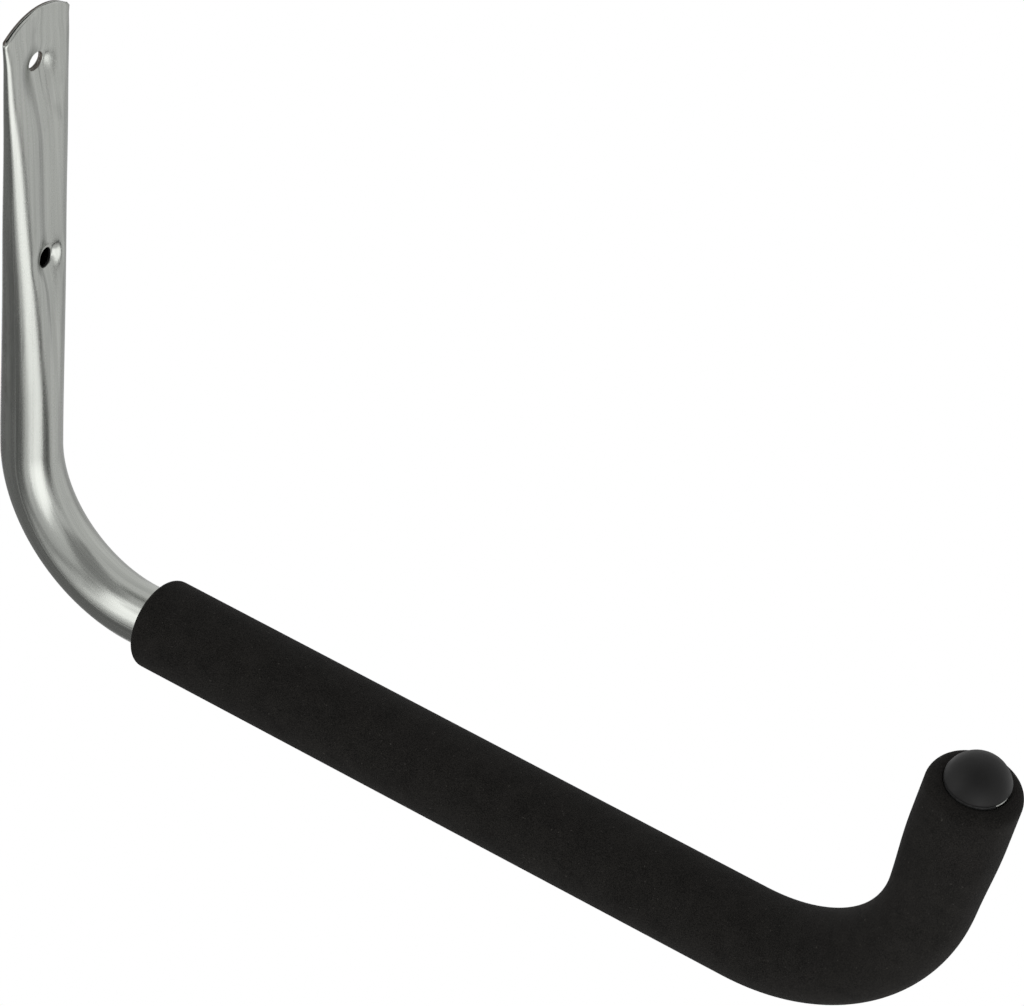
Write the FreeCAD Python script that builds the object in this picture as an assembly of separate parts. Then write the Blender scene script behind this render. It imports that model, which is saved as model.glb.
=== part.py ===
import FreeCAD, Part
import math
import os

# Garage utility hook: one steel tube, bent twice, with its upper end pressed
# into a tapering blade for two wall screws. A foam sleeve covers the arm and
# the upturned tip, and a domed plug closes the tube. Sizes in millimetres.
#
# The pieces are drawn in the tube's own frame: x across the hook, -y away from
# the wall, z up the axis of the upright, and zero where the first bend starts.
# They are then turned so that the blade's rear face stands against the wall.

# Steel tube
TUBE_D = 19.0
TUBE_WALL = 0.9
ELBOW_R = 43.9
ELBOW_ANGLE = 90.0
ARM_LENGTH = 224.0
CRADLE_R = 62.5
CRADLE_ANGLE = 78.1
TIP_LENGTH = 47.3

# Blade: heights on the upright where the taper starts and ends, its thickness at
# the end, and the slit that is left where the two walls meet along the middle
TAPER_FOOT = 14.0
TAPER_TOP = 150.0
FOOT_BLEND = 10.0
BLADE_T = 2.15
BLADE_SLIT = 0.15
TAPER_BOW = 1.15
WALL_LEAN = 4.0

# The front's two crests, and the trough pressed between them, which grows along
# the taper and is crushed until the walls meet at the upper screw hole
CREST_START = 0.25
CREST_OUT = 4.8
FLANK_SPREAD = 3.0
CREST_FULL_AT = 88.0
TROUGH = 1.3
TROUGH_FULL_AT = 70.0
CRUSH = 0.3
CRUSH_FROM = 110.0
CRUSH_FULL_AT = 140.0
SEAM_HALF = 0.05

# Wall screws, and the arc that the blade's end is cut to
HOLE_D = 6.2
HOLE_PITCH = 68.0
HOLES_MIDDLE = 105.8
HOLE_TO_TOP = 18.6
END_ARC_R = 19.85

# Foam sleeve
FOAM_WALL = 5.0
FOAM_BORE_GAP = 0.1
FOAM_BARE_ARM = 5.8
FOAM_BARE_TIP = 0.7
FOAM_ARM_ROUND = 2.4
FOAM_TIP_ROUND = 3.8
WAIST_DEPTH = 1.35
WAIST_AT = 0.8
WAIST_RUN_OUT = 27.0

# Plug in the tip
PLUG_OVERHANG = 0.2
PLUG_RIM = 0.4
PLUG_DOME = 7.1
PLUG_LEAN = 2.0
PLUG_CANT = 3.5
PLUG_STEM_EASE = 1.3
PLUG_STEM_WALL = 2.0
PLUG_STEM_LENGTH = 16.0
PLUG_BARBS = 3
PLUG_BARB_GAP = 0.05
PLUG_BARB_HEIGHT = 2.2

TUBE_R = TUBE_D / 2
BORE_R = TUBE_R - TUBE_WALL
FOAM_R = TUBE_R + FOAM_WALL
ACROSS = FreeCAD.Vector(1, 0, 0)
UP = FreeCAD.Vector(0, 0, 1)


def side_point(out, height, across=0.0):
    """A point given by its distance from the upright's axis and its height."""
    return FreeCAD.Vector(across, -out, height)


def side_direction(angle):
    """A direction in the hook's plane, from straight out (0) to straight up (90)."""
    turn = math.radians(angle)
    return side_point(math.cos(turn), math.sin(turn))


# Centre line of the tube
ARM_ANGLE = ELBOW_ANGLE - 90.0
TIP_ANGLE = ARM_ANGLE + CRADLE_ANGLE


def arc_point(centre, radius, angle):
    """The point of an arc below its centre where the line runs at the angle."""
    return centre + side_direction(angle - 90.0) * radius


ELBOW_CENTRE = side_point(ELBOW_R, 0.0)
ARM_START = arc_point(ELBOW_CENTRE, ELBOW_R, ARM_ANGLE)
ARM_END = ARM_START + side_direction(ARM_ANGLE) * ARM_LENGTH
CRADLE_CENTRE = ARM_END + side_direction(ARM_ANGLE + 90.0) * CRADLE_R
TIP_START = arc_point(CRADLE_CENTRE, CRADLE_R, TIP_ANGLE)
TIP_END = TIP_START + side_direction(TIP_ANGLE) * TIP_LENGTH


def elbow_edge():
    middle = arc_point(ELBOW_CENTRE, ELBOW_R, ARM_ANGLE - ELBOW_ANGLE / 2)
    return Part.Arc(side_point(0.0, 0.0), middle, ARM_START).toShape()


def cradle_edge():
    middle = arc_point(CRADLE_CENTRE, CRADLE_R, ARM_ANGLE + CRADLE_ANGLE / 2)
    return Part.Arc(ARM_END, middle, TIP_START).toShape()


def disc_wire(centre, direction, radius):
    return Part.Wire(Part.makeCircle(radius, centre, direction))


def swept_rod(edges, direction, radius):
    """A round rod along a chain of edges that sets off in the direction."""
    path = Part.Wire(edges)
    start = edges[0].valueAt(edges[0].FirstParameter)
    return path.makePipeShell([disc_wire(start, direction, radius)], True, False)


# Upright: round at the foot, closing to the flat blade
def taper_rise(height):
    """Height above the foot of the taper, with a soft start."""
    rise = height - TAPER_FOOT
    if rise <= -FOOT_BLEND:
        return 0.0
    if rise < FOOT_BLEND:
        return (rise + FOOT_BLEND) ** 2 / (4 * FOOT_BLEND)
    return rise


def eased(value, low, high):
    """0 below the low end, 1 above the high end, with a soft start and stop."""
    share = max(0.0, min(1.0, (value - low) / (high - low)))
    return share * share * (3.0 - 2.0 * share)


def thickness(height):
    """Depth of the tube from its rear face to the crests of its front."""
    share = min(1.0, taper_rise(height) / (TAPER_TOP - TAPER_FOOT))
    return TUBE_D - (TUBE_D - BLADE_T) * share ** TAPER_BOW


def rear_reach(height):
    """Distance from the upright's axis back to its rear face."""
    return TUBE_R - math.tan(math.radians(WALL_LEAN)) * taper_rise(height)


def crest_out(height):
    """Distance of the front's crests from the middle."""
    return CREST_START + (CREST_OUT - CREST_START) * eased(height, TAPER_FOOT, CREST_FULL_AT)


def trough_depth(height):
    """Depth of the trough between the crests, where the walls meet at the most."""
    pressed = TROUGH * eased(height, TAPER_FOOT, TROUGH_FULL_AT)
    pressed += CRUSH * eased(height, CRUSH_FROM, CRUSH_FULL_AT)
    return min(pressed, thickness(height) - 2 * TUBE_WALL - BLADE_SLIT)


def front_points(height, half_width, inset):
    """The front from the right side to the left one, as (across, forward) pairs.

    Forward is measured from the outer rear face, also where the wall is inset.
    """
    fold = thickness(height) / 2
    crest = crest_out(height)
    run = min(half_width - inset - crest, FLANK_SPREAD * (fold - inset))
    flank_top = half_width - inset - run
    flank = []
    for i in range(9):
        turn = math.pi / 2 * i / 8
        flank.append((flank_top + run * math.cos(turn), fold + (fold - inset) * math.sin(turn)))
    face = []
    for i in range(1, 12):
        across = flank_top * (1.0 - i / 6)
        share = min(1.0, abs(across) / crest)
        dip = trough_depth(height) * (1.0 + math.cos(math.pi * share)) / 2
        face.append((across, 2 * fold - inset - dip))
    return flank + face + [(-across, forward) for across, forward in reversed(flank)]


def half_width(height):
    """Half the section's width: the girth of the tube stays what it was."""
    fold = thickness(height) / 2
    low, high = max(fold + SEAM_HALF, crest_out(height)), 2 * TUBE_D
    while high - low > 0.0001:
        middle = (low + high) / 2
        front = front_points(height, middle, 0.0)
        girth = 2 * (middle - fold) + math.pi * fold
        girth += sum(math.dist(front[i], front[i + 1]) for i in range(len(front) - 1))
        if girth > math.pi * TUBE_D:
            high = middle
        else:
            low = middle
    return low


def round_section(height, radius):
    """A circle as four arcs: a short one at the rear, two quarters and the front."""
    depth = math.sqrt(radius ** 2 - SEAM_HALF ** 2)
    slant = radius * math.sqrt(0.5)
    arcs = [
        [(-SEAM_HALF, depth), (0, radius), (SEAM_HALF, depth)],
        [(SEAM_HALF, depth), (slant, slant), (radius, 0)],
        [(radius, 0), (0, -radius), (-radius, 0)],
        [(-radius, 0), (-slant, slant), (-SEAM_HALF, depth)],
    ]
    edges = []
    for arc in arcs:
        edges.append(Part.Arc(*[FreeCAD.Vector(x, y, height) for x, y in arc]).toShape())
    return Part.Wire(edges)


def pressed_section(height, inset):
    """The tube's section at a height: flat rear, round folds, flanks and trough."""
    fold = thickness(height) / 2
    side = half_width(height) - inset
    half_flat = side - (fold - inset)
    rear = rear_reach(height)

    def point(across, forward):
        return FreeCAD.Vector(across, rear - forward, height)

    def fold_edge(turn_from, turn_to, way):
        ends = []
        for turn in (turn_from, (turn_from + turn_to) / 2, turn_to):
            out = half_flat + (fold - inset) * math.sin(math.radians(turn))
            ends.append(point(way * out, fold - (fold - inset) * math.cos(math.radians(turn))))
        return Part.Arc(*ends).toShape()

    front = Part.BSplineCurve()
    front.interpolate([point(*pair) for pair in front_points(height, half_width(height), inset)])
    return Part.Wire([
        Part.makeLine(point(-half_flat, inset), point(half_flat, inset)),
        fold_edge(0.0, 90.0, 1),
        front.toShape(),
        fold_edge(90.0, 0.0, -1),
    ])


def stations(low, high, steps):
    return [low + (high - low) * i / steps for i in range(1, steps + 1)]


def flat_backed(solid, inset):
    """The solid with the strips of its rear above the foot joined to one flat face."""

    def on_rear(point):
        above = point.z > TAPER_FOOT + FOOT_BLEND - 0.001
        return above and abs(point.y - rear_reach(point.z) + inset) < 0.001

    strips = []
    faces = []
    for face in solid.Faces:
        if all(on_rear(v.Point) for v in face.Vertexes):
            strips.append(face)
        else:
            faces.append(face)
    edges = [edge for face in strips for edge in face.Edges]
    outline = [e for e in edges if sum(e.isSame(other) for other in edges) == 1]
    faces.append(Part.Face(Part.Wire(Part.sortEdges(outline)[0])))
    shell = Part.Shell(faces)
    shell.sewShape()
    return Part.Solid(shell)


def upright_solid(inset):
    """The upright from the foot of the taper to beyond the blade's top."""
    foot = TAPER_FOOT - FOOT_BLEND
    heights = stations(foot, TAPER_FOOT + FOOT_BLEND, 5)
    heights += stations(TAPER_FOOT + FOOT_BLEND, CRUSH_FROM, 6)
    heights += stations(CRUSH_FROM, CRUSH_FULL_AT, 4)
    heights += stations(CRUSH_FULL_AT, TAPER_TOP, 3)
    heights.append(HOLES_MIDDLE + HOLE_PITCH / 2 + 2 * HOLE_TO_TOP)
    wires = [round_section(foot, TUBE_R - inset)]
    wires += [pressed_section(height, inset) for height in heights]
    return flat_backed(Part.makeLoft(wires, True, True), inset)


def bent_rod(inset):
    """The round run of the tube, from the foot of the taper to the tip."""
    foot = side_point(0.0, TAPER_FOOT - FOOT_BLEND)
    edges = [
        Part.makeLine(foot, side_point(0.0, 0.0)),
        elbow_edge(),
        Part.makeLine(ARM_START, ARM_END),
        cradle_edge(),
        Part.makeLine(TIP_START, TIP_END),
    ]
    return swept_rod(edges, UP, TUBE_R - inset)


def make_steel_tube():
    """The whole tube, its blade still longer than the end arc leaves it."""
    upright = upright_solid(0.0).cut(upright_solid(TUBE_WALL))
    bent = bent_rod(0.0).cut(bent_rod(TUBE_WALL))
    return bent.fuse(upright)


# Foam sleeve
def waist(share):
    """How far the foam has drawn in: 0 on the straight runs, 1 at the waist."""
    if share <= 0.0:
        return (1.0 + math.cos(math.pi * min(1.0, -share))) / 2
    return (1.0 + math.cos(math.pi * min(1.0, share))) / 2


def foam_radius(distance):
    """Radius of the stretched foam at a distance along the cradle's centre line."""
    cradle_run = CRADLE_R * math.radians(CRADLE_ANGLE)
    waist_place = WAIST_AT * cradle_run
    if distance < waist_place:
        share = (distance - waist_place) / waist_place
    else:
        share = (distance - waist_place) / (cradle_run + WAIST_RUN_OUT - waist_place)
    return FOAM_R - WAIST_DEPTH * waist(share)


def foam_cradle():
    """The foam round the cradle bend and the first stretch of the tip."""
    cradle_run = CRADLE_R * math.radians(CRADLE_ANGLE)
    wires = [disc_wire(ARM_END, side_direction(ARM_ANGLE), FOAM_R)]
    for turned in stations(0.0, CRADLE_ANGLE, 18):
        angle = ARM_ANGLE + turned
        centre = arc_point(CRADLE_CENTRE, CRADLE_R, angle)
        radius = foam_radius(CRADLE_R * math.radians(turned))
        wires.append(disc_wire(centre, side_direction(angle), radius))
    for along in stations(0.0, WAIST_RUN_OUT, 5):
        centre = TIP_START + side_direction(TIP_ANGLE) * along
        wires.append(disc_wire(centre, side_direction(TIP_ANGLE), foam_radius(cradle_run + along)))
    return Part.makeLoft(wires, True, True)


def rounded_bar(start, direction, length, radius, end_round):
    """A round bar whose far end has a rounded edge."""
    bar = Part.makeCylinder(radius, length, start, direction)
    far = start + direction * length
    rim = [e for e in bar.Edges if e.Closed and (e.CenterOfMass - far).Length < end_round]
    return bar.makeFillet(end_round, rim)


def make_foam_sleeve():
    arm_way = side_direction(ARM_ANGLE)
    tip_way = side_direction(TIP_ANGLE)
    tip_from = TIP_START + tip_way * WAIST_RUN_OUT
    tip_run = TIP_LENGTH - FOAM_BARE_TIP - WAIST_RUN_OUT
    arm_part = rounded_bar(ARM_END, -arm_way, ARM_LENGTH - FOAM_BARE_ARM, FOAM_R, FOAM_ARM_ROUND)
    tip_part = rounded_bar(tip_from, tip_way, tip_run, FOAM_R, FOAM_TIP_ROUND)
    outside = foam_cradle().fuse([arm_part, tip_part])
    bore_edges = [
        Part.makeLine(ARM_START, ARM_END),
        cradle_edge(),
        Part.makeLine(TIP_START, TIP_END + tip_way * TUBE_D),
    ]
    bore = swept_rod(bore_edges, arm_way, TUBE_R + FOAM_BORE_GAP)
    return outside.cut(bore)


# Plug
def plug_head():
    """The domed head with its flat underside at zero, rounded at the rim."""
    head_r = TUBE_R + PLUG_OVERHANG
    shoulder = FreeCAD.Vector(head_r, 0, PLUG_RIM)
    crown = FreeCAD.Vector(0, 0, PLUG_RIM + PLUG_DOME)
    dome_r = (head_r ** 2 + PLUG_DOME ** 2) / (2 * PLUG_DOME)
    half_way = math.asin(head_r / dome_r) / 2
    flank = crown + FreeCAD.Vector(dome_r * math.sin(half_way), 0, dome_r * (math.cos(half_way) - 1.0))
    outline = Part.Wire([
        Part.makeLine(FreeCAD.Vector(), FreeCAD.Vector(head_r, 0, 0)),
        Part.makeLine(FreeCAD.Vector(head_r, 0, 0), shoulder),
        Part.Arc(shoulder, flank, crown).toShape(),
        Part.makeLine(crown, FreeCAD.Vector()),
    ])
    return Part.Face(outline).revolve(FreeCAD.Vector(), UP, 360)


def plug_stem(reach_up):
    """The hollow stem below zero, with barbs that grip the tube's bore."""
    foot = FreeCAD.Vector(0, 0, -PLUG_STEM_LENGTH)
    stem_r = BORE_R - PLUG_STEM_EASE
    barb_r = BORE_R - PLUG_BARB_GAP
    stem = Part.makeCylinder(stem_r, PLUG_STEM_LENGTH + reach_up, foot)
    spacing = PLUG_STEM_LENGTH / PLUG_BARBS
    barbs = []
    for i in range(PLUG_BARBS):
        barbs.append(Part.makeCone(stem_r, barb_r, PLUG_BARB_HEIGHT, foot + UP * spacing * i))
    hollow = Part.makeCylinder(stem_r - PLUG_STEM_WALL, PLUG_STEM_LENGTH, foot)
    return stem.fuse(barbs).cut(hollow)


def make_end_plug():
    """The plug on the tube's end, its head tipped towards the wall and one side."""
    head = plug_head()
    head.rotate(FreeCAD.Vector(), ACROSS, -PLUG_LEAN)
    head.rotate(FreeCAD.Vector(), side_point(1.0, 0.0), PLUG_CANT)
    lift = TUBE_R * math.sin(math.radians(math.hypot(PLUG_LEAN, PLUG_CANT)))
    head.translate(UP * lift)
    plug = plug_stem(2 * lift + PLUG_RIM).fuse(head)
    plug.rotate(FreeCAD.Vector(), ACROSS, 90.0 - TIP_ANGLE)
    plug.translate(TIP_END)
    return plug


# Turning the hook so that the blade's rear face lies on the wall plane, y = 0,
# with the middle of the two screw holes at the origin
MOUNT_POINT = side_point(-rear_reach(HOLES_MIDDLE), HOLES_MIDDLE)


def against_wall(shape):
    placed = shape.copy()
    placed.translate(-MOUNT_POINT)
    placed.rotate(FreeCAD.Vector(), ACROSS, -WALL_LEAN)
    return placed


def screw_holes():
    holes = []
    for height in (HOLE_PITCH / 2, -HOLE_PITCH / 2):
        start = FreeCAD.Vector(0, TUBE_D, height)
        holes.append(Part.makeCylinder(HOLE_D / 2, 3 * TUBE_D, start, FreeCAD.Vector(0, -1, 0)))
    return holes


def beyond_end_arc():
    """What the arc at the blade's end cuts away."""
    arc_centre = HOLE_PITCH / 2 + HOLE_TO_TOP - END_ARC_R
    wide = 3 * TUBE_D
    corner = FreeCAD.Vector(-wide / 2, -wide / 2, arc_centre)
    block = Part.makeBox(wide, wide, wide, corner)
    disc_face = FreeCAD.Vector(0, -wide / 2, arc_centre)
    disc = Part.makeCylinder(END_ARC_R, wide, disc_face, FreeCAD.Vector(0, 1, 0))
    return block.cut(disc)


def main():
    os.makedirs("parts", exist_ok=True)
    steel_tube = against_wall(make_steel_tube()).cut([beyond_end_arc()] + screw_holes())
    pieces = {
        "steel_tube": steel_tube,
        "foam_sleeve": against_wall(make_foam_sleeve()),
        "end_plug": against_wall(make_end_plug()),
    }
    for name, shape in pieces.items():
        shape.exportStep("parts/" + name + ".step")


main()
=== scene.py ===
import math

import bmesh
import bpy
import numpy as np
from mathutils import Matrix, Vector

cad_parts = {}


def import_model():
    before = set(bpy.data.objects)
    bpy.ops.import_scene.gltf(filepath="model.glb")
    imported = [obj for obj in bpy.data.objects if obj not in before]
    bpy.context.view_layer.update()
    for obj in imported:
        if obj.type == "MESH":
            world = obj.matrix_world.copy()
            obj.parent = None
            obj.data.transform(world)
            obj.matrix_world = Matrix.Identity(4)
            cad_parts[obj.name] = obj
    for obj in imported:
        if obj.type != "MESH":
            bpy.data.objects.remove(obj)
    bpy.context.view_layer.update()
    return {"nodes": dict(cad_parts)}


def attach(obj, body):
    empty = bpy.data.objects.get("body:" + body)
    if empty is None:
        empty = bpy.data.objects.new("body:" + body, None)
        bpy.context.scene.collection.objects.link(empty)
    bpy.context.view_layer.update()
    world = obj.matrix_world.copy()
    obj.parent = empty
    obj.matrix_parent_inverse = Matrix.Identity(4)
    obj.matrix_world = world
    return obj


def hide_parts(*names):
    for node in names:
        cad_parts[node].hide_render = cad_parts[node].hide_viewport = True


# Garage utility hook: a steel tube with its upper end pressed flat, a foam
# sleeve on the arm and the upturned tip, and a domed plug. Sizes in millimetres
# in the hook's own frame: x across, -y away from the wall, z up.
MM = 0.001

# The tube's centre line
TUBE_R = 9.5
TUBE_WALL = 0.9
ELBOW_R = 43.9
ARM_LENGTH = 224.0
CRADLE_R = 62.5
CRADLE_ANGLE = 78.1
TIP_LENGTH = 47.3

# The pressed blade
TAPER_FOOT = 14.0
TAPER_TOP = 150.0
FOOT_BLEND = 10.0
BLADE_T = 2.15
BLADE_SLIT = 0.04
TAPER_BOW = 1.15
WALL_LEAN = math.radians(4.0)
CREST_OUT = 4.8
FLANK_SPREAD = 3.0
CREST_FULL_AT = 88.0
TROUGH = 0.95
TROUGH_FULL_AT = 70.0
FULLNESS = 1.1
FULL_FROM = 76.0
FULL_AT = 120.0
CLOSE_FROM = 143.0
CLOSE_AT = 157.0
END_FLARE = 0.011
FLARE_FROM = 149.0
FLARE_AT = 152.5
HOLE_R = 3.1
HOLE_PITCH = 68.0
HOLES_MIDDLE = 105.8
HOLE_TO_TOP = 18.6
END_ARC_R = 19.85

# The dent round each hole: where its middle is on the upright, how far its floor
# is from the rear, its lean across and along, and its reach to the left, right,
# top and bottom
DENT_PAD = 3.4
DENTS = (
    (HOLES_MIDDLE + HOLE_PITCH / 2, 1.95, 0.0, 0.0, 12.5, 11.2, 15.0, 26.0),
    (HOLES_MIDDLE - HOLE_PITCH / 2, 10.55, -0.12, -0.13, 9.0, 6.9, 11.0, 14.0),
)

# The foam
FOAM_R = 14.3
FOAM_BORE_R = 9.6
FOAM_BORE_ROUND = 0.5
FOAM_BARE_ARM = 5.8
FOAM_BARE_TIP = 0.7
FOAM_ARM_ROUND = 2.4
FOAM_TIP_ROUND = 3.8
WAIST_DEPTH = 1.15
WAIST_AT = 0.95
WAIST_RUN_OUT = 27.0

GIRTH = 2 * math.pi * TUBE_R
ELBOW_RUN = ELBOW_R * math.pi / 2
CRADLE_TURN = math.radians(CRADLE_ANGLE)
CRADLE_RUN = CRADLE_R * CRADLE_TURN
ARM_AT = ELBOW_RUN
CRADLE_AT = ARM_AT + ARM_LENGTH
TIP_AT = CRADLE_AT + CRADLE_RUN
TIP_END_AT = TIP_AT + TIP_LENGTH

# The skin's net of faces: its rows and columns, and the blocks round the holes
BLOCK_HALF = 4.6
BLOCK_STEPS = 4
SIDE_STEPS = 56
FOOT_STEPS = 45
BETWEEN_STEPS = 41
HOLE_RINGS = (0.3, 0.6, 0.85, 1.0)
ARM_STUB = 9.0
TIP_BAND = 1.5

# The rounding of cut edges, and its rows as depth into the wall and rise to the cut
EDGE_ROUND = 0.25
EDGE_ROWS = ((0.08, 0.17), (0.25, 0.25))

# The foam's net of faces
FOAM_SIDES = 112
FOAM_ROWS = 190
FOAM_BORE_ROWS = 70

# The steel's two edge materials, by their slot in the mesh
CUT_EDGE = 1
# The second edge slot is painted shade: near-black on the tip's rim, the band beside it and the lower hole's
# walls
PAINTED_SHADE_EDGE = 2

# The part of the tip's rim to each side of its outermost point that isn't painted near-black as shade
UNSHADED_RIM = math.radians(15.0)


def place(points):
    """Points of the hook's own frame (mm), stood against the wall, in metres."""
    rear = TUBE_R - math.tan(WALL_LEAN) * (HOLES_MIDDLE - TAPER_FOOT)
    moved = np.asarray(points, float) - np.array([0.0, rear, HOLES_MIDDLE])
    c, s = math.cos(WALL_LEAN), math.sin(WALL_LEAN)
    x, y, z = moved.T
    return np.stack([x, y * c + z * s, -y * s + z * c], axis=1) * MM


def mesh_object(name, points, faces, unbent=None):
    mesh = bpy.data.meshes.new(name)
    mesh.from_pydata([tuple(p) for p in points], [], faces)
    mesh.validate()
    if unbent is not None:
        layer = mesh.attributes.new("unbent", "FLOAT_VECTOR", "POINT")
        layer.data.foreach_set("vector", np.asarray(unbent, np.float32).ravel())
    mesh.polygons.foreach_set("use_smooth", [True] * len(mesh.polygons))
    obj = bpy.data.objects.new(name, mesh)
    bpy.context.scene.collection.objects.link(obj)
    return obj


# Centre line
def line_point(along):
    """Where the centre line is, and its travel angle, this far past the upright."""
    if along <= 0.0:
        return np.array([0.0, 0.0, -along]), -math.pi / 2
    if along <= ARM_AT:
        angle = along / ELBOW_R - math.pi / 2
        return np.array([0.0, -ELBOW_R, 0.0]) + ELBOW_R * heading(angle - math.pi / 2), angle
    corner = np.array([0.0, -ELBOW_R, -ELBOW_R])
    if along <= CRADLE_AT:
        return corner + np.array([0.0, ARM_AT - along, 0.0]), 0.0
    centre = corner + np.array([0.0, -ARM_LENGTH, CRADLE_R])
    angle = min(along - CRADLE_AT, CRADLE_RUN) / CRADLE_R
    point = centre + CRADLE_R * heading(angle - math.pi / 2)
    return point + heading(angle) * max(0.0, along - TIP_AT), angle


def heading(angle):
    """A direction in the hook's plane: 0 is straight out, a right angle straight up."""
    return np.array([0.0, -math.cos(angle), math.sin(angle)])


def ring(along, radius, turns):
    """A circle of points round the centre line, begun on its outer side."""
    centre, angle = line_point(along)
    outer = heading(angle - math.pi / 2)
    across = np.array([1.0, 0.0, 0.0])
    return centre + radius * (np.outer(np.sin(turns), across) + np.outer(np.cos(turns), outer))


# The pressed upright
def taper_rise(height):
    rise = height - TAPER_FOOT
    soft = (rise + FOOT_BLEND) ** 2 / (4 * FOOT_BLEND)
    return np.where(rise <= -FOOT_BLEND, 0.0, np.where(rise < FOOT_BLEND, soft, rise))


def eased(value, low, high):
    share = np.clip((value - low) / (high - low), 0.0, 1.0)
    return share * share * (3.0 - 2.0 * share)


def thickness(height):
    share = np.minimum(1.0, taper_rise(height) / (TAPER_TOP - TAPER_FOOT))
    fuller = FULLNESS * eased(height, FULL_FROM, FULL_AT) * (1.0 - eased(height, CLOSE_FROM, CLOSE_AT))
    return 2 * TUBE_R - (2 * TUBE_R - BLADE_T) * share ** TAPER_BOW + fuller


def trough_depth(height):
    pressed = TROUGH * eased(height, TAPER_FOOT, TROUGH_FULL_AT)
    return np.minimum(pressed, thickness(height) - 2 * TUBE_WALL - BLADE_SLIT)


def half_sections(height, half_width, inset):
    """Half the section at each height, from its front line round to its rear line."""
    fold = (thickness(height) / 2)[:, None]
    crest = (CREST_OUT * eased(height, TAPER_FOOT, CREST_FULL_AT))[:, None]
    round_depth = fold - inset
    side = half_width[:, None] - inset
    run = np.minimum(side - crest, FLANK_SPREAD * round_depth)
    steps = np.linspace(0.0, 1.0, 61)[None, :]
    turns = steps * math.pi / 2
    face = (side - run) * steps
    share = np.clip(face / np.maximum(crest, 0.01), 0.0, 1.0)
    dip = trough_depth(height)[:, None] * (1.0 + np.cos(math.pi * share)) / 2
    across = [face, side - run + run * np.sin(turns)[:, 1:], side - round_depth * (1 - np.cos(turns))[:, 1:]]
    across.append((side - round_depth) * (1 - steps)[:, 1:])
    forward = [fold + round_depth - dip, fold + round_depth * np.cos(turns)[:, 1:]]
    forward += [fold - round_depth * np.sin(turns)[:, 1:], inset + 0.0 * (side * steps)[:, 1:]]
    return np.concatenate(across, axis=1), np.concatenate(forward, axis=1)


def lengths(across, forward):
    """The length along each half-section up to each of its points."""
    pieces = np.hypot(np.diff(across, axis=1), np.diff(forward, axis=1))
    return np.concatenate([np.zeros((len(pieces), 1)), np.cumsum(pieces, axis=1)], axis=1)


def half_widths(height):
    """Half the width at each height: the girth of the tube stays what it was."""
    low = np.maximum(thickness(height) / 2, CREST_OUT * eased(height, TAPER_FOOT, CREST_FULL_AT))
    high = np.full(len(height), 2 * GIRTH)
    for _ in range(40):
        middle = (low + high) / 2
        too_long = lengths(*half_sections(height, middle, 0.0))[:, -1] > GIRTH / 2
        high = np.where(too_long, middle, high)
        low = np.where(too_long, low, middle)
    return low


TABLE_TOP = 180.0
TABLE_HEIGHTS = np.linspace(0.0, TABLE_TOP, 721)
TABLE_SHARES = np.linspace(0.0, 1.0, 601)


def section_table(inset):
    """Across and forward places on the upright's skin, by height and girth share."""
    across, forward = half_sections(TABLE_HEIGHTS, half_widths(TABLE_HEIGHTS), inset)
    length = lengths(across, forward)
    rows = []
    for x, y, way in zip(across, forward, length):
        rows.append((np.interp(TABLE_SHARES * way[-1], way, x), np.interp(TABLE_SHARES * way[-1], way, y)))
    return np.array(rows)


OUTER_TABLE = section_table(0.0)
INNER_TABLE = section_table(TUBE_WALL)


def looked_up(table, share, height):
    """The table's across and forward places between its entries."""
    row = np.clip(height / TABLE_TOP, 0.0, 1.0) * (len(TABLE_HEIGHTS) - 1)
    column = share * (len(TABLE_SHARES) - 1)
    r = np.minimum(row.astype(int), len(TABLE_HEIGHTS) - 2)
    c = np.minimum(column.astype(int), len(TABLE_SHARES) - 2)
    up, on = row - r, column - c
    low = table[r, :, c] * (1 - on)[..., None] + table[r, :, c + 1] * on[..., None]
    high = table[r + 1, :, c] * (1 - on)[..., None] + table[r + 1, :, c + 1] * on[..., None]
    return low * (1 - up)[..., None] + high * up[..., None]


def dented(across, height, forward, inset):
    """The front's distance from the rear, pressed in round each hole."""
    for middle, floor, lean_across, lean_along, left, right, top, bottom in DENTS:
        rise = height - middle
        aside = across / np.where(across < 0, left, right)
        along = rise / np.where(rise < 0, bottom, top)
        away = np.maximum(np.hypot(across, rise), 0.01)
        reach = away / np.maximum(np.hypot(aside, along), 0.001)
        pressed = np.clip((reach - away) / (reach - DENT_PAD), 0.0, 1.0) ** 2
        pad = floor - inset + lean_across * across + lean_along * rise
        forward = forward + pressed * (pad - forward)
    return forward


def skin(u, height, inset):
    """The tube's skin at a girth distance u from its front line and at a height."""
    u, height = np.broadcast_arrays(np.asarray(u, float), np.asarray(height, float))
    share = np.abs(u) / (GIRTH / 2)
    outer = looked_up(OUTER_TABLE, share, height)
    inner = looked_up(INNER_TABLE, share, height)
    place_in = outer + (inner - outer) * inset / TUBE_WALL
    rear = TUBE_R - math.tan(WALL_LEAN) * taper_rise(height)
    flared = 1.0 + END_FLARE * eased(height, FLARE_FROM, FLARE_AT)
    across = place_in[..., 0] * np.where(u < 0, -1.0, 1.0) * flared
    front = dented(across, height, place_in[..., 1], inset)
    forward = np.where(share < 0.5, front, place_in[..., 1])
    return np.stack([across, rear - forward, height], axis=-1)


def height_at(u, wall_height, inset):
    """The height on the tube's axis at which the skin is this high on the wall."""
    height = HOLES_MIDDLE + wall_height
    for _ in range(8):
        y = skin(u, height, inset)[..., 1] - (TUBE_R - math.tan(WALL_LEAN) * (HOLES_MIDDLE - TAPER_FOOT))
        height = HOLES_MIDDLE + (wall_height + y * math.sin(WALL_LEAN)) / math.cos(WALL_LEAN)
    return height


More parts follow.
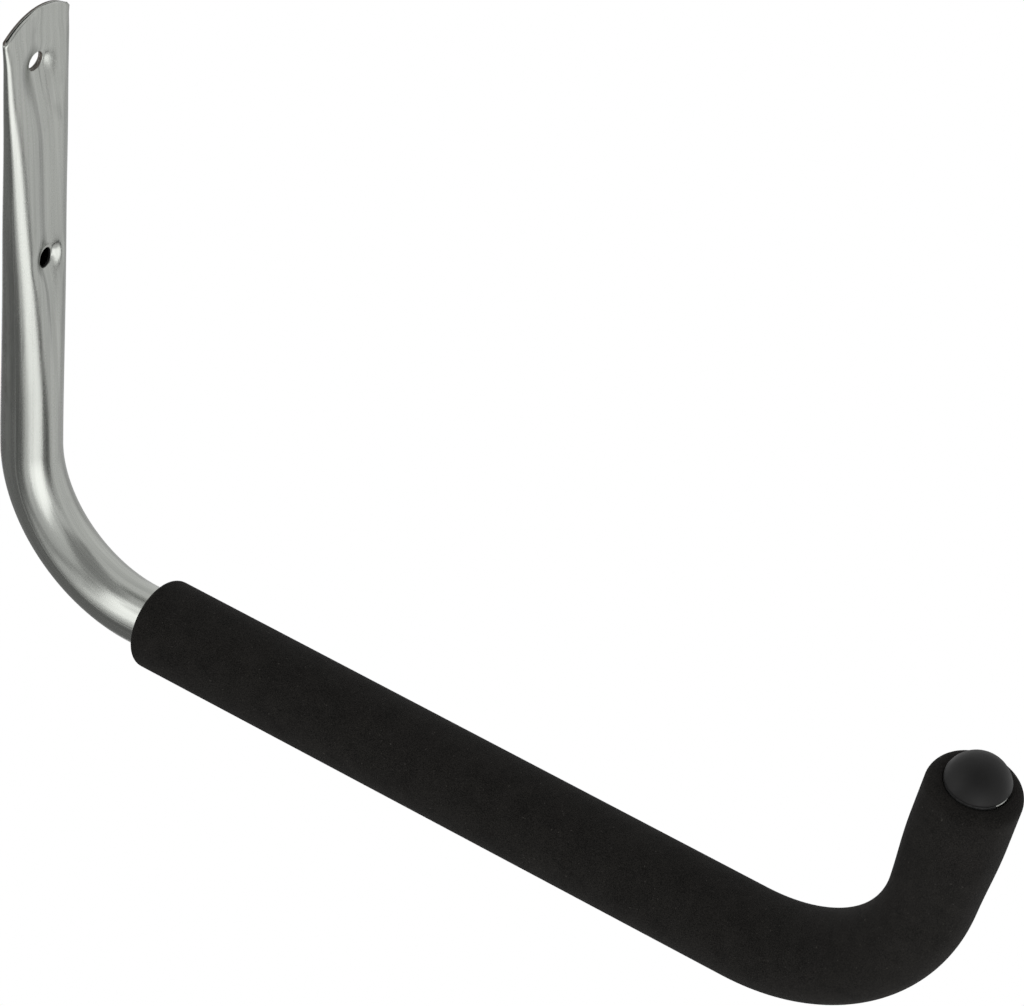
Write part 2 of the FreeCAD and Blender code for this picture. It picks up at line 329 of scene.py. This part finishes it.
class Skin:
    """Collects the points of the steel's skin with where they lie on the straight tube."""

    def __init__(self):
        self.points = []
        self.unbent = []
        self.faces = []
        self.cut = []

    def add(self, points, u, along):
        """Adds points and returns their numbers."""
        points = np.asarray(points, float).reshape(-1, 3)
        turn = math.pi - np.asarray(u, float) / TUBE_R
        turn, along = np.broadcast_arrays(turn, np.asarray(along, float))
        first = len(self.points)
        self.points.extend(points)
        self.unbent.extend(np.stack([TUBE_R * np.sin(turn), TUBE_R * np.cos(turn), along], axis=-1) * MM)
        return list(range(first, first + len(points)))

    def strip(self, one, other):
        """Joins two closed rows of points by faces."""
        count = len(one)
        for i in range(count):
            j = (i + 1) % count
            self.faces.append((one[i], one[j], other[j], other[i]))


def columns():
    """Girth distances of the net's columns, from the front line round and back."""
    block = np.linspace(0.0, BLOCK_HALF, BLOCK_STEPS + 1)
    side = np.linspace(BLOCK_HALF, GIRTH / 2 - BLOCK_HALF, SIDE_STEPS + 1)
    half = np.concatenate([block, side[1:], GIRTH / 2 - block[::-1][1:]])
    return np.concatenate([half, -half[-2:0:-1]])


def hole_heights(centre):
    return np.linspace(centre - BLOCK_HALF, centre + BLOCK_HALF, 2 * BLOCK_STEPS + 1)


def upright_heights(centres):
    """The net's rows up the blade to the top of the upper hole's block."""
    low, high = [hole_heights(c) for c in centres]
    foot = np.linspace(0.0, low[0], FOOT_STEPS + 1)
    between = np.linspace(low[-1], high[0], BETWEEN_STEPS + 1)
    return np.concatenate([foot, low[1:], between[1:], high[1:]])


def block_border(rows, first_row, middle, count):
    """The points round a hole's block, from its lowest row's first column."""
    steps = 2 * BLOCK_STEPS
    left = middle - BLOCK_STEPS
    cells = [(0, c) for c in range(steps)]
    cells += [(r, steps) for r in range(steps)]
    cells += [(steps, c) for c in range(steps, 0, -1)]
    cells += [(r, 0) for r in range(steps, 0, -1)]
    return [rows[first_row + r][(left + c) % count] for r, c in cells], cells


def add_hole(net, border, cells, centre, wall_height, front, inset):
    """Rings of faces from a block's border to the hole's edge in one skin."""
    steps = 2 * BLOCK_STEPS
    size = BLOCK_HALF / BLOCK_STEPS
    flat = np.array([((c - BLOCK_STEPS) * size, (r - BLOCK_STEPS) * size) for r, c in cells])
    spin = math.radians(225.0) + np.arange(len(cells)) * 2 * math.pi / (4 * steps)
    edge = HOLE_R + (EDGE_ROUND if inset == 0.0 else 0.0)
    goal_x = edge * np.cos(spin)
    goal_z = wall_height + edge * np.sin(spin)

    def girth(x):
        return x if front else np.where(x < 0, -1.0, 1.0) * (GIRTH / 2 - np.abs(x))

    goal_height = height_at(girth(goal_x), goal_z, inset)
    last = border
    for share in HOLE_RINGS:
        x = flat[:, 0] * (1 - share) + goal_x * share
        height = (centre + flat[:, 1]) * (1 - share) + goal_height * share
        now = net.add(skin(girth(x), height, inset), girth(x), -height)
        net.strip(last, now)
        last = now
    if inset:
        return last
    for step in (1, 2, 3):
        angle = math.pi / 2 * step / 3
        radius = HOLE_R + EDGE_ROUND * (1 - math.sin(angle))
        x = radius * np.cos(spin)
        height = height_at(girth(x), wall_height + radius * np.sin(spin), 0.0)
        points = skin(girth(x), height, 0.0)
        points[:, 1] += EDGE_ROUND * (1 - math.cos(angle)) * (1 if front else -1)
        now = net.add(points, girth(x), -height)
        net.strip(last, now)
        last = now
    return last


def steel_skin():
    net = Skin()
    u = columns()
    count = len(u)
    front, rear = 0, count // 2
    centres = [float(height_at(0.0, h, 0.0)) for h in (-HOLE_PITCH / 2, HOLE_PITCH / 2)]
    heights = upright_heights(centres)
    low_row = FOOT_STEPS
    high_row = len(heights) - 1 - 2 * BLOCK_STEPS
    arc_middle = HOLE_PITCH / 2 + HOLE_TO_TOP - END_ARC_R
    turns = math.pi - u / TUBE_R
    rims = []
    tops = []
    tips = []
    for inset in (0.0, TUBE_WALL):
        rows = []
        tip_at = TIP_END_AT - (EDGE_ROUND if inset == 0.0 else EDGE_ROUND / 2)
        tail = [tip_at] + list(np.linspace(TIP_END_AT - TIP_BAND, TIP_AT, 6))
        tail += list(np.linspace(TIP_AT, CRADLE_AT, 17))[1:]
        tail += list(np.linspace(CRADLE_AT, ARM_AT + ARM_STUB, 6))[1:]
        tail += list(np.linspace(ARM_AT + ARM_STUB, ARM_AT, 5))[1:]
        tail += list(np.linspace(ARM_AT, 0.0, 41))[1:-1]
        for along in tail:
            rows.append(net.add(ring(along, TUBE_R - inset, turns), u, along))
        bent = len(rows)
        for height in heights:
            rows.append(net.add(skin(u, height, inset), u, -height))
        across = skin(u, heights[-1], inset)[:, 0]
        arc = arc_middle + np.sqrt(np.maximum(END_ARC_R ** 2 - across ** 2, 0.0))
        top = height_at(u, arc, inset) - (EDGE_ROUND if inset == 0.0 else EDGE_ROUND / 2)
        for share in np.linspace(0.0, 1.0, 11)[1:]:
            height = heights[-1] + (top - heights[-1]) * share
            rows.append(net.add(skin(u, height, inset), u, -height))
        blocks = []
        holes = ((low_row, centres[0], -HOLE_PITCH / 2), (high_row, centres[1], HOLE_PITCH / 2))
        for first, centre, wall_height in holes:
            for middle, is_front in ((front, True), (rear, False)):
                border, cells = block_border(rows, bent + first, middle, count)
                if not is_front:
                    cells = [(r, 2 * BLOCK_STEPS - c) for r, c in cells]
                blocks.append(add_block(net, border, cells, centre, wall_height, is_front, inset))
        skipped = set()
        for first in (low_row, high_row):
            for r in range(2 * BLOCK_STEPS):
                for middle in (front, rear):
                    for c in range(-BLOCK_STEPS, BLOCK_STEPS):
                        skipped.add((bent + first + r, (middle + c) % count))
        # Painted shade: the outer skin's band just short of the tip's end is painted near-black, all but its
        # outermost part
        if inset == 0.0:
            net.cut += [(len(net.faces) + c, PAINTED_SHADE_EDGE) for c in painted_shade_columns(turns)]
        for r in range(len(rows) - 1):
            for c in range(count):
                if (r, c) not in skipped:
                    d = (c + 1) % count
                    net.faces.append((rows[r][c], rows[r][d], rows[r + 1][d], rows[r + 1][c]))
        rims.append(blocks)
        tops.append((rows[-1], top))
        tips.append(rows[0])
    # The first two rims are the lower hole's, front and rear; their walls are painted near-black as shade,
    # the others take the cut-edge colour
    for number, (outer, inner) in enumerate(zip(*rims)):
        material = PAINTED_SHADE_EDGE if number < 2 else CUT_EDGE
        net.cut += [(len(net.faces) + i, material) for i in range(len(outer))]
        net.strip(outer, inner)
    close_top(net, u, tops)
    close_tip(net, u, turns, tips)
    return net


def add_block(net, border, cells, centre, wall_height, is_front, inset):
    """One hole in one skin; the rear is seen in a mirror, so its ring starts elsewhere."""
    if is_front:
        return add_hole(net, border, cells, centre, wall_height, True, inset)
    steps = 2 * BLOCK_STEPS
    order = list(range(len(cells)))
    start = next(i for i in order if cells[i] == (0, 0))
    order = [(start - i) % len(cells) for i in order]
    border = [border[i] for i in order]
    cells = [cells[i] for i in order]
    return add_hole(net, border, cells, centre, wall_height, False, inset)


def close_top(net, u, tops):
    """The blade's cut end, its two edges slightly rounded."""
    (outer, outer_top), (inner, inner_top) = tops
    last = outer
    first = len(net.faces) + len(u)
    rear = [i for i in range(len(u)) if abs(u[i]) > GIRTH / 4]
    net.cut += [(first + row * len(u) + i, CUT_EDGE) for row in range(2) for i in rear]
    for inset, lift in EDGE_ROWS:
        height = outer_top + lift
        now = net.add(skin(u, height, inset), u, -height)
        net.strip(last, now)
        last = now
    height = inner_top + EDGE_ROUND / 2
    now = net.add(skin(u, height, TUBE_WALL - EDGE_ROUND / 2), u, -height)
    net.strip(last, now)
    net.strip(now, inner)


def painted_shade_columns(turns):
    """The columns of the tip's end painted near-black as shade: all but the outermost part."""
    return [i for i, turn in enumerate(turns) if math.cos(turn) < math.cos(UNSHADED_RIM)]


def close_tip(net, u, turns, tips):
    """The tube's other cut end; all but its outermost part is painted near-black as shade."""
    last = tips[0]
    first = len(net.faces)
    net.cut += [(first + row * len(u) + i, PAINTED_SHADE_EDGE) for row in range(4) for i in painted_shade_columns(turns)]
    for inset, lift in EDGE_ROWS:
        along = TIP_END_AT - EDGE_ROUND + lift
        now = net.add(ring(along, TUBE_R - inset, turns), u, along)
        net.strip(last, now)
        last = now
    now = net.add(ring(TIP_END_AT, TUBE_R - TUBE_WALL + EDGE_ROUND / 2, turns), u, TIP_END_AT)
    net.strip(last, now)
    net.strip(now, tips[1])


def outward(obj):
    """Turns every face of a closed mesh outward."""
    work = bmesh.new()
    work.from_mesh(obj.data)
    bmesh.ops.recalc_face_normals(work, faces=work.faces)
    work.to_mesh(obj.data)
    work.free()


# Foam
def foam_radius(along):
    """The foam's outer radius, drawn in where it is stretched round the bend."""
    past = along - CRADLE_AT
    low = WAIST_AT * CRADLE_RUN
    share = (past - low) / (low if past < low else CRADLE_RUN + WAIST_RUN_OUT - low)
    return FOAM_R - WAIST_DEPTH * (1.0 + math.cos(math.pi * max(-1.0, min(1.0, share)))) / 2


def foam_profile():
    """The sleeve's closed section as pairs of place along the tube and radius."""
    start = ARM_AT + FOAM_BARE_ARM
    end = TIP_END_AT - FOAM_BARE_TIP
    bore = FOAM_BORE_ROUND
    profile = []
    for i in range(4):
        turn = math.pi / 2 * i / 3
        profile.append((start + bore * (1 - math.sin(turn)), FOAM_BORE_R + bore * (1 - math.cos(turn))))
    for i in range(9):
        turn = math.pi / 2 * i / 8
        radius = FOAM_R - FOAM_ARM_ROUND * (1 - math.sin(turn))
        profile.append((start + FOAM_ARM_ROUND * (1 - math.cos(turn)), radius))
    for along in np.linspace(start + FOAM_ARM_ROUND, end - FOAM_TIP_ROUND, FOAM_ROWS)[1:-1]:
        profile.append((along, foam_radius(along)))
    for i in range(13):
        turn = math.pi / 2 * i / 12
        radius = FOAM_R - FOAM_TIP_ROUND * (1 - math.cos(turn))
        profile.append((end - FOAM_TIP_ROUND * (1 - math.sin(turn)), radius))
    for i in range(4):
        turn = math.pi / 2 * i / 3
        profile.append((end - bore * (1 - math.cos(turn)), FOAM_BORE_R + bore * (1 - math.sin(turn))))
    for along in np.linspace(end - bore, start + bore, FOAM_BORE_ROWS)[1:-1]:
        profile.append((along, FOAM_BORE_R))
    return profile


def make_foam():
    count = FOAM_SIDES
    turns = np.arange(count) * 2 * math.pi / count
    points = []
    unbent = []
    faces = []
    profile = foam_profile()
    for along, radius in profile:
        points.append(place(ring(along, radius, turns)))
        flat = np.stack([radius * np.sin(turns), radius * np.cos(turns), np.full(count, along)], axis=1)
        unbent.append(flat * MM)
    for i in range(len(profile)):
        j = (i + 1) % len(profile)
        for k in range(count):
            m = (k + 1) % count
            faces.append((i * count + k, i * count + m, j * count + m, j * count + k))
    foam = mesh_object("foam_grip", np.concatenate(points), faces, np.concatenate(unbent))
    outward(foam)
    return foam


# Materials: each pair of colours is the darkest and the lightest of that surface
STEEL_COLOURS = ((0.315, 0.324, 0.305, 1), (0.420, 0.431, 0.406, 1))
CUT_COLOURS = ((0.04, 0.032, 0.027, 1), (0.15, 0.13, 0.115, 1))
# Painted shade: near-black for the tip's rim, the band beside it and the lower hole's walls
PAINTED_SHADE_COLOURS = ((0.006, 0.006, 0.006, 1), (0.02, 0.02, 0.02, 1))
FOAM_COLOURS = ((0.001, 0.0008, 0.0006, 1), (0.0155, 0.0143, 0.0128, 1))
FOAM_SPECK = (0.032, 0.030, 0.027, 1)
PLUG_COLOURS = ((0.003, 0.003, 0.003, 1), (0.008, 0.0078, 0.0076, 1))


class Nodes:
    """A material's node tree with short ways to add and join nodes."""

    def __init__(self, name):
        self.material = bpy.data.materials.new(name)
        self.material.use_nodes = True
        self.tree = self.material.node_tree
        self.shader = self.tree.nodes["Principled BSDF"]

    def add(self, kind, **inputs):
        node = self.tree.nodes.new(kind)
        for key, value in inputs.items():
            self.put(node.inputs[key.replace("_", " ")], value)
        return node

    def put(self, socket, value):
        if isinstance(value, bpy.types.NodeSocket):
            self.tree.links.new(value, socket)
        else:
            socket.default_value = value

    def math(self, operation, one, other=0.0):
        node = self.tree.nodes.new("ShaderNodeMath")
        node.operation = operation
        self.put(node.inputs[0], one)
        self.put(node.inputs[1], other)
        return node.outputs[0]

    def unbent(self, scale):
        """Coordinates on the tube as if it were straight, stretched by the scale."""
        source = self.add("ShaderNodeAttribute")
        source.attribute_name = "unbent"
        mapping = self.add("ShaderNodeMapping", Scale=scale)
        self.tree.links.new(source.outputs["Vector"], mapping.inputs["Vector"])
        return mapping.outputs["Vector"]

    def noise(self, vector, scale, detail=2.0, roughness=0.5):
        node = self.add("ShaderNodeTexNoise", Vector=vector, Scale=scale, Detail=detail, Roughness=roughness)
        return node.outputs["Fac"]

    def scaled(self, vector, scale):
        node = self.tree.nodes.new("ShaderNodeVectorMath")
        node.operation = "SCALE"
        self.put(node.inputs[0], vector)
        self.put(node.inputs["Scale"], scale)
        return node.outputs["Vector"]

    def parts(self, vector):
        return self.add("ShaderNodeSeparateXYZ", Vector=vector).outputs[:3]

    def spread(self, value, low, high, to_low, to_high, kind="LINEAR"):
        node = self.tree.nodes.new("ShaderNodeMapRange")
        node.interpolation_type = kind
        self.put(node.inputs["Value"], value)
        node.inputs["From Min"].default_value = low
        node.inputs["From Max"].default_value = high
        node.inputs["To Min"].default_value = to_low
        node.inputs["To Max"].default_value = to_high
        return node.outputs["Result"]

    def mix(self, share, one, other):
        node = self.tree.nodes.new("ShaderNodeMix")
        node.data_type = "RGBA"
        self.put(node.inputs["Factor"], share)
        self.put(node.inputs["A"], one)
        self.put(node.inputs["B"], other)
        return node.outputs["Result"]

    def bump(self, height, strength, distance):
        node = self.add("ShaderNodeBump", Height=height, Strength=strength, Distance=distance)
        return node.outputs["Normal"]


# The die line: a thin pale line left along the tube when it was drawn
DIE_LINE_AT = -13.5
DIE_LINE_HALF = 0.3
DIE_LINE_TOP = 100.0
DIE_LINE_FADE = 5.0
DIE_LINE_GAIN = 0.45


def wear(n):
    """How much lighter or darker the die line, scratches and stains make the steel."""
    x, y, z = n.parts(n.unbent((1.0 / MM, 1.0 / MM, 1.0 / MM)))
    across = n.math("MULTIPLY", n.math("ARCTAN2", x, n.math("MULTIPLY", y, -1.0)), TUBE_R)
    aside = n.math("ABSOLUTE", n.math("SUBTRACT", across, DIE_LINE_AT))
    line = n.spread(aside, 0.0, DIE_LINE_HALF, DIE_LINE_GAIN, 0.0, "SMOOTHSTEP")
    below_top = n.spread(z, -DIE_LINE_TOP, DIE_LINE_FADE - DIE_LINE_TOP, 0.0, 1.0)
    scratches = n.spread(n.noise(n.unbent((1.0, 1.0, 0.04)), 500.0, 2.0, 0.5), 0.66, 0.74, 0.0, -0.25)
    stains = n.spread(n.noise(n.unbent((1.0, 1.0, 0.4)), 90.0, 3.0, 0.6), 0.58, 0.72, 0.0, -0.2)
    darker = n.math("ADD", scratches, stains)
    return n.math("ADD", n.math("ADD", 1.0, n.math("MULTIPLY", line, below_top)), darker)


def steel_material():
    n = Nodes("zinc_plated_steel")
    streaks = n.noise(n.unbent((1.0, 1.0, 0.02)), 900.0, 3.0, 0.6)
    broad = n.noise(n.unbent((1.0, 1.0, 0.06)), 160.0, 2.0, 0.5)
    grain = n.noise(n.unbent((1.0, 1.0, 0.5)), 2600.0, 2.0, 0.6)
    tone = n.math("ADD", n.math("MULTIPLY", streaks, 0.6), n.math("MULTIPLY", broad, 0.4))
    colour = n.mix(n.spread(tone, 0.35, 0.65, 0.0, 1.0), *STEEL_COLOURS)
    n.put(n.shader.inputs["Base Color"], n.scaled(colour, wear(n)))
    n.shader.inputs["Metallic"].default_value = 1.0
    rough = n.math("ADD", n.spread(tone, 0.35, 0.65, 0.22, 0.29), n.math("MULTIPLY", grain, 0.04))
    n.put(n.shader.inputs["Roughness"], rough)
    n.put(n.shader.inputs["Normal"], n.bump(n.math("ADD", streaks, grain), 0.12, 0.0001))
    return n.material


def cut_edge_material(name, colours):
    n = Nodes(name)
    stain = n.noise(n.unbent((1.0, 1.0, 1.0)), 700.0, 3.0, 0.7)
    n.put(n.shader.inputs["Base Color"], n.mix(n.spread(stain, 0.35, 0.65, 0.0, 1.0), *colours))
    n.shader.inputs["Specular IOR Level"].default_value = 0.3
    n.shader.inputs["Roughness"].default_value = 0.6
    return n.material


def foam_material():
    n = Nodes("black_foam")
    cells = n.noise(n.unbent((1.0, 1.0, 1.0)), 3000.0, 3.0, 0.7)
    soft = n.noise(n.unbent((1.0, 1.0, 1.0)), 180.0, 2.0, 0.5)
    shade = n.math("ADD", n.math("MULTIPLY", cells, 0.85), n.math("MULTIPLY", soft, 0.15))
    colour = n.mix(n.spread(shade, 0.38, 0.62, 0.0, 1.0), *FOAM_COLOURS)
    specks = n.spread(n.noise(n.unbent((1.0, 1.0, 1.0)), 1300.0, 1.0, 0.5), 0.72, 0.78, 0.0, 1.0)
    colour = n.mix(specks, colour, FOAM_SPECK)
    n.put(n.shader.inputs["Base Color"], colour)
    n.shader.inputs["Roughness"].default_value = 0.95
    n.shader.inputs["Specular IOR Level"].default_value = 0.15
    n.put(n.shader.inputs["Normal"], n.bump(cells, 0.5, 0.0003))
    return n.material


def plug_material():
    n = Nodes("black_plastic")
    source = n.add("ShaderNodeTexCoord")
    fine = n.noise(source.outputs["Object"], 2500.0, 2.0, 0.6)
    soft = n.noise(source.outputs["Object"], 220.0, 2.0, 0.5)
    colour = n.mix(soft, *PLUG_COLOURS)
    n.put(n.shader.inputs["Base Color"], colour)
    n.put(n.shader.inputs["Roughness"], n.spread(soft, 0.3, 0.7, 0.5, 0.6))
    n.shader.inputs["Specular IOR Level"].default_value = 0.22
    n.put(n.shader.inputs["Normal"], n.bump(fine, 0.2, 0.0001))
    return n.material


# Studio, in metres
STUDIO_LIGHT = 0.7
FLOOR_DEPTH = 1.15
FLOOR_HALF = 14.0
OBJECT_MIDDLE = Vector((0.0, -0.10, -0.06))

# The camera as it was fitted to the photo
CAMERA_LENS = 240.796
CAMERA_PLACE = Vector((-1.25223, -0.97105, 1.23544))
CAMERA_AHEAD = Vector((0.644068, 0.405320, -0.648762))
CAMERA_UP = Vector((0.473408, 0.454983, 0.754238))


def seen_white(tree, plain):
    """Mixes a shader with pure white where camera, mirror or clear rays meet it."""
    path = tree.nodes.new("ShaderNodeLightPath")
    rays = path.outputs["Is Camera Ray"]
    for name in ("Is Glossy Ray", "Is Transmission Ray"):
        either = tree.nodes.new("ShaderNodeMath")
        either.operation = "MAXIMUM"
        tree.links.new(rays, either.inputs[0])
        tree.links.new(path.outputs[name], either.inputs[1])
        rays = either.outputs[0]
    mix = tree.nodes.new("ShaderNodeMixShader")
    tree.links.new(rays, mix.inputs[0])
    tree.links.new(plain, mix.inputs[1])
    return mix


def make_world():
    world = bpy.data.worlds.new("studio")
    bpy.context.scene.world = world
    world.use_nodes = True
    tree = world.node_tree
    plain = tree.nodes["Background"]
    plain.inputs["Color"].default_value = (1.0, 1.0, 1.0, 1.0)
    plain.inputs["Strength"].default_value = STUDIO_LIGHT
    white = tree.nodes.new("ShaderNodeBackground")
    white.inputs["Strength"].default_value = 1.0
    white.inputs["Color"].default_value = (1.0, 1.0, 1.0, 1.0)
    mix = seen_white(tree, plain.outputs[0])
    tree.links.new(white.outputs[0], mix.inputs[2])
    tree.links.new(mix.outputs[0], tree.nodes["World Output"].inputs["Surface"])


def make_floor():
    size = FLOOR_HALF
    corners = [(-size, -size), (size, -size), (size, size), (-size, size)]
    points = [(x, y, -FLOOR_DEPTH) for x, y in corners]
    floor = mesh_object("studio_floor", points, [(0, 1, 2, 3)])
    n = Nodes("pale_floor")
    n.shader.inputs["Base Color"].default_value = (0.86, 0.86, 0.86, 1.0)
    n.shader.inputs["Roughness"].default_value = 0.9
    white = n.add("ShaderNodeEmission", Color=(1.0, 1.0, 1.0, 1.0), Strength=1.0)
    mix = seen_white(n.tree, n.shader.outputs[0])
    n.tree.links.new(white.outputs[0], mix.inputs[2])
    n.tree.links.new(mix.outputs[0], n.tree.nodes["Material Output"].inputs["Surface"])
    floor.data.materials.append(n.material)


def toward(azimuth, elevation):
    """The direction from the object to a place on the studio's sphere."""
    az, el = math.radians(azimuth), math.radians(elevation)
    return Vector((math.sin(az) * math.cos(el), -math.cos(az) * math.cos(el), math.sin(el)))


def facing(azimuth, elevation, distance):
    """A placement on the studio's sphere, its local -z turned to the object."""
    way = toward(azimuth, elevation)
    turn = (-way).to_track_quat("-Z", "Y")
    return Matrix.Translation(OBJECT_MIDDLE + way * distance) @ turn.to_matrix().to_4x4()


def soft_box(name, azimuth, elevation, distance, width, height, radiance):
    lamp = bpy.data.lights.new(name, "AREA")
    lamp.shape = "RECTANGLE"
    lamp.size = width
    lamp.size_y = height
    lamp.energy = radiance * math.pi * width * height
    obj = bpy.data.objects.new(name, lamp)
    bpy.context.scene.collection.objects.link(obj)
    obj.matrix_world = facing(azimuth, elevation, distance)
    obj.visible_camera = False


def flag(name, azimuth, elevation, distance, width, height, grey):
    """A dark card that only mirror-like surfaces see."""
    w, h = width / 2, height / 2
    card = mesh_object(name, [(-w, -h, 0), (w, -h, 0), (w, h, 0), (-w, h, 0)], [(0, 1, 2, 3)])
    card.matrix_world = facing(azimuth, elevation, distance)
    n = Nodes(name)
    glow = n.add("ShaderNodeEmission", Color=(grey, grey, grey, 1.0), Strength=1.0)
    n.tree.links.new(glow.outputs[0], n.tree.nodes["Material Output"].inputs["Surface"])
    card.data.materials.append(n.material)
    card.visible_camera = False
    card.visible_diffuse = False
    card.visible_shadow = False
    card.visible_transmission = False


def make_lights():
    soft_box("box_low", -37.0, -17.0, 0.9, 0.74, 0.8, 1.6)
    soft_box("box_side", -124.0, 18.0, 1.2, 0.62, 1.2, 1.5)
    flag("flag_below", -150.0, -50.0, 1.0, 1.6, 0.9, 0.25)
    flag("flag_gap", -88.0, 0.0, 1.3, 0.25, 1.6, 0.42)
    flag("flag_above", -60.0, 66.0, 1.4, 2.4, 1.5, 0.42)
    flag("flag_low", -102.0, -43.0, 1.0, 0.55, 0.55, 0.2)
    flag("flag_right", 96.0, -26.0, 1.3, 1.1, 1.1, 0.62)


def make_camera():
    camera = bpy.data.cameras.new("camera")
    camera.sensor_width = 36.0
    camera.lens = CAMERA_LENS
    camera.clip_start = 0.05
    camera.clip_end = 60.0
    obj = bpy.data.objects.new("camera", camera)
    bpy.context.scene.collection.objects.link(obj)
    ahead = CAMERA_AHEAD.normalized()
    right = ahead.cross(CAMERA_UP).normalized()
    up = right.cross(ahead)
    turn = Matrix((right, up, -ahead)).transposed()
    obj.matrix_world = Matrix.Translation(CAMERA_PLACE) @ turn.to_4x4()
    bpy.context.scene.camera = obj


def main():
    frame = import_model()
    bpy.context.scene.view_settings.view_transform = "Standard"
    make_camera()
    make_world()
    make_floor()
    make_lights()

    net = steel_skin()
    steel = mesh_object("steel_skin", place(net.points), net.faces, net.unbent)
    outward(steel)
    steel.data.materials.append(steel_material())
    steel.data.materials.append(cut_edge_material("cut_edge", CUT_COLOURS))
    # The third material is painted shade: near-black for the tip's rim, the band beside it and the lower
    # hole's walls
    steel.data.materials.append(cut_edge_material("painted_shade_edge", PAINTED_SHADE_COLOURS))
    for number, material in net.cut:
        steel.data.polygons[number].material_index = material
    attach(steel, "root")
    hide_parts("steel_tube")

    foam = make_foam()
    foam.data.materials.append(foam_material())
    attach(foam, "root")
    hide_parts("foam_sleeve")

    plug = frame["nodes"]["end_plug"]
    plug.data.materials.clear()
    plug.data.materials.append(plug_material())


main()
